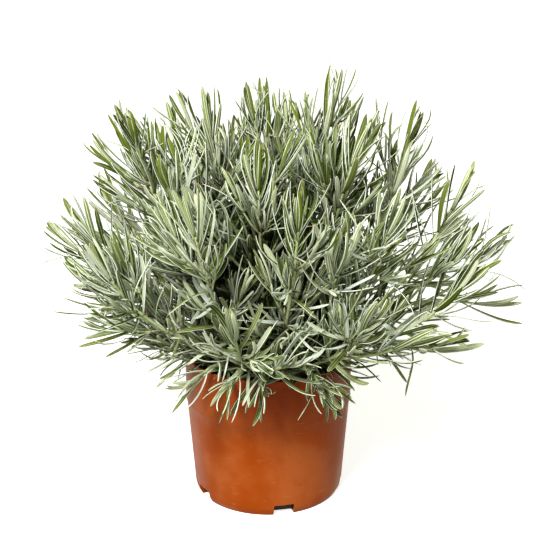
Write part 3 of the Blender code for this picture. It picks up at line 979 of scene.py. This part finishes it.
FRESH_STEM = ((0.3, 0.36, 0.14), (0.5, 0.54, 0.33))
BARK = ((0.1, 0.075, 0.045), (0.26, 0.2, 0.13))
TERRACOTTA = (0.28, 0.053, 0.0015)
BLOOM = (0.345, 0.09, 0.02)
STREAK = (0.3, 0.055, 0.005)
SCUFF = (0.5, 0.22, 0.1)
SPECK = (0.1, 0.03, 0.01)
# Painted shadow of the leaves on the pot.
LEAF_SHADOW = (0.15, 0.02, 0.002)
PEAT = ((0.018, 0.011, 0.007), (0.06, 0.036, 0.02))
FIBRE = (0.17, 0.1, 0.05)

# The painted shadow of the leaves on the pot deepens upwards between these heights, and is full right
# of these sides and a quarter of it left of them.
LEAF_SHADOW_HEIGHTS = (48 * MM, 112 * MM)
LEAF_SHADOW_SIDES = (-48 * MM, -12 * MM)


def leaf_material():
    """Leaves from deep olive to silver: a fine white down covers the rolled edges and the midrib of
    each, the whole upper face of some, and the underside but for the grooves beside its midrib.
    Painted shade darkens them towards the heart of the bush, and at low and high places through the
    drawn tone."""
    nodes = Nodes("lavender leaf")
    along, off_midrib, upper = nodes.parts("blade")
    draw, youth, other_draw = nodes.parts("tint")
    patches = nodes.noise(140, 2)
    down = nodes.noise(2600, 2, 0.7)
    top = nodes.mix(nodes.ramp(patches, 0.35, 0.7), DEEP_OLIVE, OLIVE)
    # The draw here also carries the painted shade of low and high leaves.
    for low, high, tone in TONES:
        top = nodes.mix(nodes.ramp(draw, low, high), top, tone)
    top = nodes.mix(nodes.times(youth, 0.6), top, YOUNG)
    edge = nodes.ramp(off_midrib, 0.72, 0.95, 0, 0.95)
    midrib = nodes.ramp(off_midrib, 0.02, 0.2, 0.35, 0)
    top = nodes.mix(nodes.maths("MAXIMUM", edge, midrib), top, HOARY)
    off_edge = nodes.ramp(off_midrib, 0.56, 0.78, 1, 0)
    beside = nodes.times(nodes.ramp(off_midrib, 0.08, 0.22), off_edge)
    groove = nodes.times(beside, nodes.ramp(other_draw, 0.3, 1, 0.95, 0.35))
    furrow = nodes.mix(nodes.times(youth, 0.8), OLIVE, YOUNG)
    felt = nodes.mix(nodes.ramp(draw, 0.2, 0.45), MOSS, UNDERSIDE)
    felt = nodes.mix(edge, felt, HOARY)
    under = nodes.mix(groove, felt, furrow)
    colour = nodes.mix(nodes.ramp(upper, 0.3, 0.7), under, top)
    old = nodes.times(nodes.ramp(along, 0.9, 1), nodes.ramp(other_draw, 0.6, 1))
    colour = nodes.mix(nodes.times(old, 0.6), colour, OLD_TIP)
    colour = nodes.mix(nodes.ramp(along, 0, 0.2, 0.45, 0), colour, YOUNG)
    speckle = nodes.ramp(down, 0.3, 0.7, 0.78, 1.2)
    grey = nodes.add("ShaderNodeCombineColor", dict.fromkeys(range(3), speckle))[0]
    colour = nodes.mix(1, colour, grey, "MULTIPLY")
    # Painted shade: towards the heart of the bush the colour goes nearly black.
    colour = nodes.mix(nodes.times(nodes.number("shade_depth"), 0.93), colour, INNER_SHADE)
    nodes.bump(down, 0.00012, 0.6)
    return nodes.finish(colour, nodes.ramp(down, 0.3, 0.7, 0.55, 0.75), Specular_IOR_Level=0)


def stem_material():
    """Pale downy green, browner and barkier towards the foot, and painted darker as shade inside the
    bush.
    """
    nodes = Nodes("lavender stem")
    along, _, _ = nodes.parts("blade")
    grain = nodes.noise(900, 3, 0.6, (1, 1, 0.25))
    fresh = nodes.mix(nodes.ramp(grain, 0.35, 0.7), *FRESH_STEM)
    bark = nodes.mix(nodes.ramp(grain, 0.35, 0.7), *BARK)
    colour = nodes.mix(nodes.ramp(along, 0.12, 0.4), bark, fresh)
    # Painted shade: darker towards the heart of the bush.
    colour = nodes.mix(nodes.times(nodes.number("shade_depth"), 0.6), colour, INNER_SHADE)
    nodes.bump(grain, 0.0003, 0.6)
    return nodes.finish(colour, nodes.ramp(grain, 0.3, 0.7, 0.6, 0.8))


def pot_material():
    """Moulded terracotta-coloured plastic with a hazy bloom, faint scuffs, a few specks, and a painted
    shadow of the leaves, darker towards the rim and to the right."""
    nodes = Nodes("terracotta plastic")
    haze = nodes.noise(22, 3, 0.55)
    streaks = nodes.noise(60, 3, 0.6, (1, 1, 0.12))
    specks = nodes.noise(520, 1)
    scuffs = nodes.noise(420, 2, 0.6, (0.25, 0.25, 1.6))
    colour = nodes.mix(nodes.ramp(haze, 0.38, 0.64), TERRACOTTA, BLOOM)
    colour = nodes.mix(nodes.ramp(streaks, 0.45, 0.75, 0, 0.35), colour, STREAK)
    colour = nodes.mix(nodes.ramp(scuffs, 0.64, 0.76, 0, 0.3), colour, SCUFF)
    colour = nodes.mix(nodes.ramp(specks, 0.73, 0.79, 0, 0.7), colour, SPECK)
    # Painted shadow of the leaves: darker towards the rim and to the right, patchy with the haze.
    across, _, height = nodes.place()
    shadowed = nodes.ramp(height, *LEAF_SHADOW_HEIGHTS, 0, 0.85)
    shadowed = nodes.times(shadowed, nodes.ramp(across, *LEAF_SHADOW_SIDES, 0.25, 1))
    shadowed = nodes.times(shadowed, nodes.ramp(haze, 0.3, 0.6, 0.55, 1))
    colour = nodes.mix(shadowed, colour, LEAF_SHADOW)
    nodes.bump(nodes.mix(0.5, haze, scuffs), 0.0002, 0.3)
    return nodes.finish(colour, nodes.ramp(streaks, 0.3, 0.75, 0.4, 0.55), Specular_IOR_Level=0.12)


def compost_material():
    """Dark damp peat with paler fibres."""
    nodes = Nodes("potting compost")
    grain = nodes.noise(900, 4, 0.7)
    patches = nodes.noise(160, 3, 0.6)
    colour = nodes.mix(nodes.ramp(patches, 0.35, 0.65), *PEAT)
    colour = nodes.mix(nodes.ramp(grain, 0.62, 0.75, 0, 0.6), colour, FIBRE)
    nodes.bump(grain, 0.0008, 0.8)
    return nodes.finish(colour, 0.95)


# ---------------- pot and compost

POT_SIDES = 160
COLLAR_HEIGHT = 40 * MM
COLLAR_STEP = 0.9 * MM
WALL = 1.5 * MM
FLOOR = 1.8 * MM
LIP_RADIUS = 0.7 * MM
HEEL_HEIGHT = 8 * MM
HEEL_INSET = 6.2 * MM
FOOT_INSET = 9.5 * MM
FOOT_ROUNDING = 1.0 * MM
NOTCHES = 5
NOTCH_WIDTH = 16 * MM
NOTCH_HEIGHT = 9.5 * MM
NOTCH_DEPTH = 12 * MM
NOTCH_CORNER = 1.2 * MM
FIRST_NOTCH = -78
WALL_STEPS = 9
SHARP_ANGLE = 40

# The compost's smooth form, a little inside the model's, and the lumps and crumbs on its top.
COMPOST_RINGS = 26
COMPOST_SIDES = 110
COMPOST_GAP = 1.0 * MM
COMPOST_EDGE_DROP = 1.2 * MM
ROUNDED_FROM = 0.8
COMPOST_LUMPS = 2.2 * MM
LUMP_SCALE, LUMP_LEVEL = 160, 0.6
FINE_LUMPS, FINE_SCALE = 0.5 * MM, 700
CRUMBS = 260
CRUMB_RADIUS = (0.7 * MM, 2.2 * MM)
CRUMB_MARGIN = 2.5 * MM
CRUMB_SINKS = 0.9 * MM
CRUMB_FLATNESS = 0.7
CRUMB_ROUGHNESS, CRUMB_SCALE, CRUMB_SHIFT = 0.45, 900, 500


def arc(centre, radius, start, end, count):
    """Points of an arc in the profile's plane, angles in degrees from outward towards up."""
    points = []
    for step in range(count):
        angle = radians(start + (end - start) * step / (count - 1))
        points.append((centre[0] + radius * cos(angle), centre[1] + radius * sin(angle)))
    return points


def finished(shape, mesh):
    """The mesh, filled from this bmesh, which is then let go."""
    shape.to_mesh(mesh)
    shape.free()
    return mesh


def turned_mesh(name, profile, sides):
    """A mesh turned about Z from a closed run of (radius, height), ends on the axis."""
    shape = bmesh.new()
    rings = []
    for radius, height in profile:
        if radius == 0:
            rings.append([shape.verts.new((0, 0, height))] * sides)
            continue
        turns = (2 * pi * k / sides for k in range(sides))
        rings.append([shape.verts.new((radius * cos(t), radius * sin(t), height)) for t in turns])
    for upper, lower in zip(rings, rings[1:]):
        for k in range(sides):
            after = (k + 1) % sides
            corners = dict.fromkeys((upper[k], lower[k], lower[after], upper[after]))
            if len(corners) > 2:
                shape.faces.new(corners)
    bmesh.ops.recalc_face_normals(shape, faces=shape.faces)
    return finished(shape, bpy.data.meshes.new(name))


def placed(name, data, *materials):
    """A new object in the scene, made of this mesh, camera or light."""
    piece = bpy.data.objects.new(name, data)
    bpy.context.scene.collection.objects.link(piece)
    for material in materials:
        data.materials.append(material)
    return piece


def pot_profile(rim, height):
    """The pot's section: its floor and wall inside, its lip, its collar, its wall, heel and foot."""
    body_top = height - COLLAR_HEIGHT
    heel, foot = rim - HEEL_INSET, rim - FOOT_INSET
    under_collar = (rim - COLLAR_STEP - 0.1 * MM, body_top - 1.2 * MM)
    narrowing, fall = heel - rim + COLLAR_STEP, HEEL_HEIGHT + 1.0 * MM - body_top
    shares = [step / WALL_STEPS for step in range(WALL_STEPS)]
    return [
        (0, FLOOR),
        (foot - WALL, FLOOR),
        (heel - WALL, HEEL_HEIGHT),
        (rim - COLLAR_STEP - WALL, body_top - 0.4 * MM),
        (rim - 0.2 * MM - WALL, body_top + 0.6 * MM),
        *arc((rim - WALL + LIP_RADIUS, height - LIP_RADIUS), LIP_RADIUS, 180, 90, 5),
        *arc((rim - LIP_RADIUS, height - LIP_RADIUS), LIP_RADIUS, 90, 0, 6),
        (rim - 0.1 * MM, height - 0.4 * COLLAR_HEIGHT),
        (rim - 0.15 * MM, body_top + 2.0 * MM),
        (rim - 0.35 * MM, body_top + 0.9 * MM),
        (rim - 0.6 * MM, body_top - 0.2 * MM),
        *((under_collar[0] + narrowing * t, under_collar[1] + fall * t) for t in shares),
        (heel, HEEL_HEIGHT),
        (heel - 0.25 * MM, HEEL_HEIGHT * 0.72),
        (heel - 0.8 * MM, HEEL_HEIGHT * 0.45),
        (foot + FOOT_ROUNDING * 0.9, FOOT_ROUNDING),
        *arc((foot - FOOT_ROUNDING * 0.1, FOOT_ROUNDING), FOOT_ROUNDING, -20, -90, 5),
        (0, 0),
    ]


def notch_cutter(number, distance):
    """A block with rounded edges, to cut one drain notch at this distance from the axis."""
    shape = bmesh.new()
    size = Matrix.Diagonal((NOTCH_DEPTH, NOTCH_WIDTH, 2 * NOTCH_HEIGHT, 1))
    bmesh.ops.create_cube(shape, size=1, matrix=size)
    bmesh.ops.bevel(
        shape, geom=shape.edges[:], offset=NOTCH_CORNER, segments=3, affect="EDGES", profile=0.5
    )
    name = f"notch_{number}"
    cutter = placed(name, finished(shape, bpy.data.meshes.new(name)))
    azimuth = radians(FIRST_NOTCH + number * 360 / NOTCHES)
    cutter.location = (distance * cos(azimuth), distance * sin(azimuth), 0)
    cutter.rotation_euler = (0, 0, azimuth)
    return cutter


def make_pot(material):
    """The pot with its rolled lip, its collar, its rounded heel and its drain notches."""
    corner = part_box("pot")[1]
    whole = placed("whole", turned_mesh("whole", pot_profile(corner.x, corner.z), POT_SIDES))
    distance = corner.x - HEEL_INSET + WALL - NOTCH_DEPTH / 2
    cutters = [notch_cutter(number, distance) for number in range(NOTCHES)]
    for cutter in cutters:
        cut = whole.modifiers.new(cutter.name, "BOOLEAN")
        cut.operation = "DIFFERENCE"
        cut.object = cutter
    bpy.context.view_layer.update()
    graph = bpy.context.evaluated_depsgraph_get()
    mesh = bpy.data.meshes.new_from_object(whole.evaluated_get(graph), depsgraph=graph)
    for helper in (whole, *cutters):
        bpy.data.objects.remove(helper)
    mesh.name = "nursery_pot"
    mesh.shade_smooth()
    mesh.set_sharp_from_angle(angle=radians(SHARP_ANGLE))
    return placed("nursery_pot", mesh, material)


def make_compost(material):
    """The compost: a crumbly top over the model's smooth one, with loose crumbs on it."""
    low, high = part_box("potting_compost")
    edge = SOIL_HEIGHT - COMPOST_EDGE_DROP
    radius = high.x - COMPOST_GAP
    profile = [(0, high.z)]
    for ring in range(1, COMPOST_RINGS):
        share = ring / (COMPOST_RINGS - 1)
        fall = (high.z - edge) * max(0.0, (share - ROUNDED_FROM) / (1 - ROUNDED_FROM))
        profile.append((radius * share, high.z - fall))
    profile += [(radius * 0.985, SOIL_HEIGHT * 0.85), (radius * 0.88, low.z + 1 * MM), (0, low.z)]
    mesh = turned_mesh("compost", profile, COMPOST_SIDES)
    for corner in mesh.vertices:
        if corner.co.z > edge - 0.5 * MM:
            lump = noise.fractal(corner.co * LUMP_SCALE, 1.0, 2.0, 3) - LUMP_LEVEL
            corner.co.z += lump * COMPOST_LUMPS + noise.noise(corner.co * FINE_SCALE) * FINE_LUMPS
    draw = random.Random(SEED + 4)
    shape = bmesh.new()
    shape.from_mesh(mesh)
    for _ in range(CRUMBS):
        azimuth = draw.uniform(0, 2 * pi)
        distance = (radius - CRUMB_MARGIN) * math.sqrt(draw.random())
        size = draw.uniform(*CRUMB_RADIUS) * draw.random() ** 0.5
        made = bmesh.ops.create_icosphere(shape, subdivisions=2, radius=size)["verts"]
        centre = Vector((distance * cos(azimuth), distance * sin(azimuth), high.z - CRUMB_SINKS))
        for corner in made:
            rough = 1 + CRUMB_ROUGHNESS * noise.noise(corner.co * CRUMB_SCALE + centre * CRUMB_SHIFT)
            flat = Vector((corner.co.x, corner.co.y, corner.co.z * CRUMB_FLATNESS))
            corner.co = centre + flat * rough
    finished(shape, mesh)
    mesh.shade_smooth()
    return placed("compost", mesh, material)


# ---------------- camera, light, floor

CAMERA_PLACE = (0, -1.10, 0.59)
CAMERA_TARGET = (0.0065, 0, 0.1766)
LENS = 99.47

FLOOR_RADIUS = 12
FLOOR_COLOUR = (0.85, 0.85, 0.85)
FLOOR_GLOW = 0.6
SKY_COLOUR = (0.97, 1.0, 0.72, 1)
SKY_STRENGTH = 0.27

# Round lights, all aimed at one point: (name, place, size, power, colour).
LIT_POINT = (0, 0, 0.18)
LIGHTS = (
    ("key", (-0.5, -1.24, 1.36), 0.5, 47, (1.0, 1.0, 0.99)),
    ("fill", (0.35, -1.4, 0.42), 1.2, 7, (0.98, 1.0, 1.0)),
)


def aimed(name, data, place, target):
    """A camera or a light at its place, turned towards its target."""
    made = placed(name, data)
    made.location = place
    aim = Vector(target) - Vector(place)
    made.rotation_euler = aim.to_track_quat("-Z", "Y").to_euler()
    return made


def make_camera():
    data = bpy.data.cameras.new("camera")
    data.lens = LENS
    bpy.context.scene.camera = aimed("camera", data, CAMERA_PLACE, CAMERA_TARGET)


def make_lights():
    """A high soft light from the left and front, a weak wide one low in front, and a pale sky."""
    for name, place, size, power, colour in LIGHTS:
        data = bpy.data.lights.new(name, "AREA")
        data.shape = "DISK"
        data.size = size
        data.energy = power
        data.color = colour
        aimed(name, data, place, LIT_POINT)
    world = bpy.data.worlds.new("pale sky")
    world.use_nodes = True
    sky = world.node_tree.nodes["Background"]
    sky.inputs["Color"].default_value = SKY_COLOUR
    sky.inputs["Strength"].default_value = SKY_STRENGTH
    bpy.context.scene.world = world
    bpy.context.scene.view_settings.view_transform = "Standard"
    bpy.context.scene.view_settings.look = "Medium High Contrast"


def make_floor():
    """A wide pale floor, faintly glowing, that throws no light on the object."""
    shape = bmesh.new()
    bmesh.ops.create_circle(shape, cap_ends=True, radius=FLOOR_RADIUS, segments=64)
    glow = {"Emission_Color": (1.0, 1.0, 1.0), "Emission_Strength": FLOOR_GLOW}
    paper = Nodes("pale floor").finish(FLOOR_COLOUR, 0.9, **glow)
    floor = placed("floor", finished(shape, bpy.data.meshes.new("floor")), paper)
    floor.visible_diffuse = False
    floor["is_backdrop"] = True


# ---------------- the scene


def main():
    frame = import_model()
    cad_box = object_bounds()
    make_camera()
    make_lights()
    make_floor()

    pot = make_pot(pot_material())
    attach(pot, "root")
    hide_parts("pot")

    compost = make_compost(compost_material())
    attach(compost, "root")
    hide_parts("potting_compost")

    shoots = planned_shoots()
    mains = main_shoots(shoots)
    leaves, starts = planned_leaves(shoots)
    leaves = settled_leaves(leaves, frame["nodes"])
    young = young_shoots(mains) + heart_shoots(mains)
    leaves += extra_leaves(shoots, starts, mains, young)
    leaves += axil_tufts(leaves)

    foliage, bark = leaf_material(), stem_material()
    draw = random.Random(SEED + 5)
    for name in mains:
        growth = Growth()
        for owner, path, radii, *_ in (*shoots, *young):
            if owner == name:
                add_stem(growth, path, radii, draw)
        for leaf in leaves:
            if leaf["owner"] == name:
                add_blade(growth, leaf, draw)
        label = name.replace("leafy_stem", "foliage")
        piece = placed(label, growth.mesh(label), foliage, bark)
        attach(piece, "root")
        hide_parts(name)
    return cad_box


cad_box = main()
